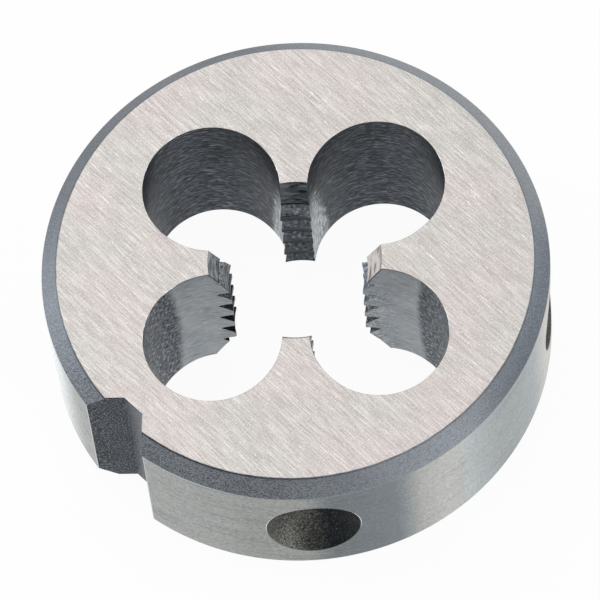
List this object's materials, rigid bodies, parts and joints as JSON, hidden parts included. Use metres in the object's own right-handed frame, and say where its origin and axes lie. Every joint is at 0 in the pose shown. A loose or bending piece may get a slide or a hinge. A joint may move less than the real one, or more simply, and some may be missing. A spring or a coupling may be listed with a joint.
{
  "type": "round threading die",
  "caption": "Solid round threading die: a chamfered steel disc with a threaded bore between cutting lands, round chip holes, a setting notch and conical clamping seats in its rim.",
  "frame": {"origin": "on the thread axis, at the lower face that the die lies on", "axes": "+Z along the thread axis, from the lower face to the upper one; the cutting lands point along +X, +Y, -X and -Y; the setting notch is in the rim between -X and -Y"},
  "size_m": [0.025, 0.025, 0.009],
  "materials": {
    "tool_steel": "hardened steel, faces and rim ground, chamfers, notch and chip holes left dark"
  },
  "bodies": {
    "root": {"threading_die": "tool_steel"}
  },
  "joints": []
}
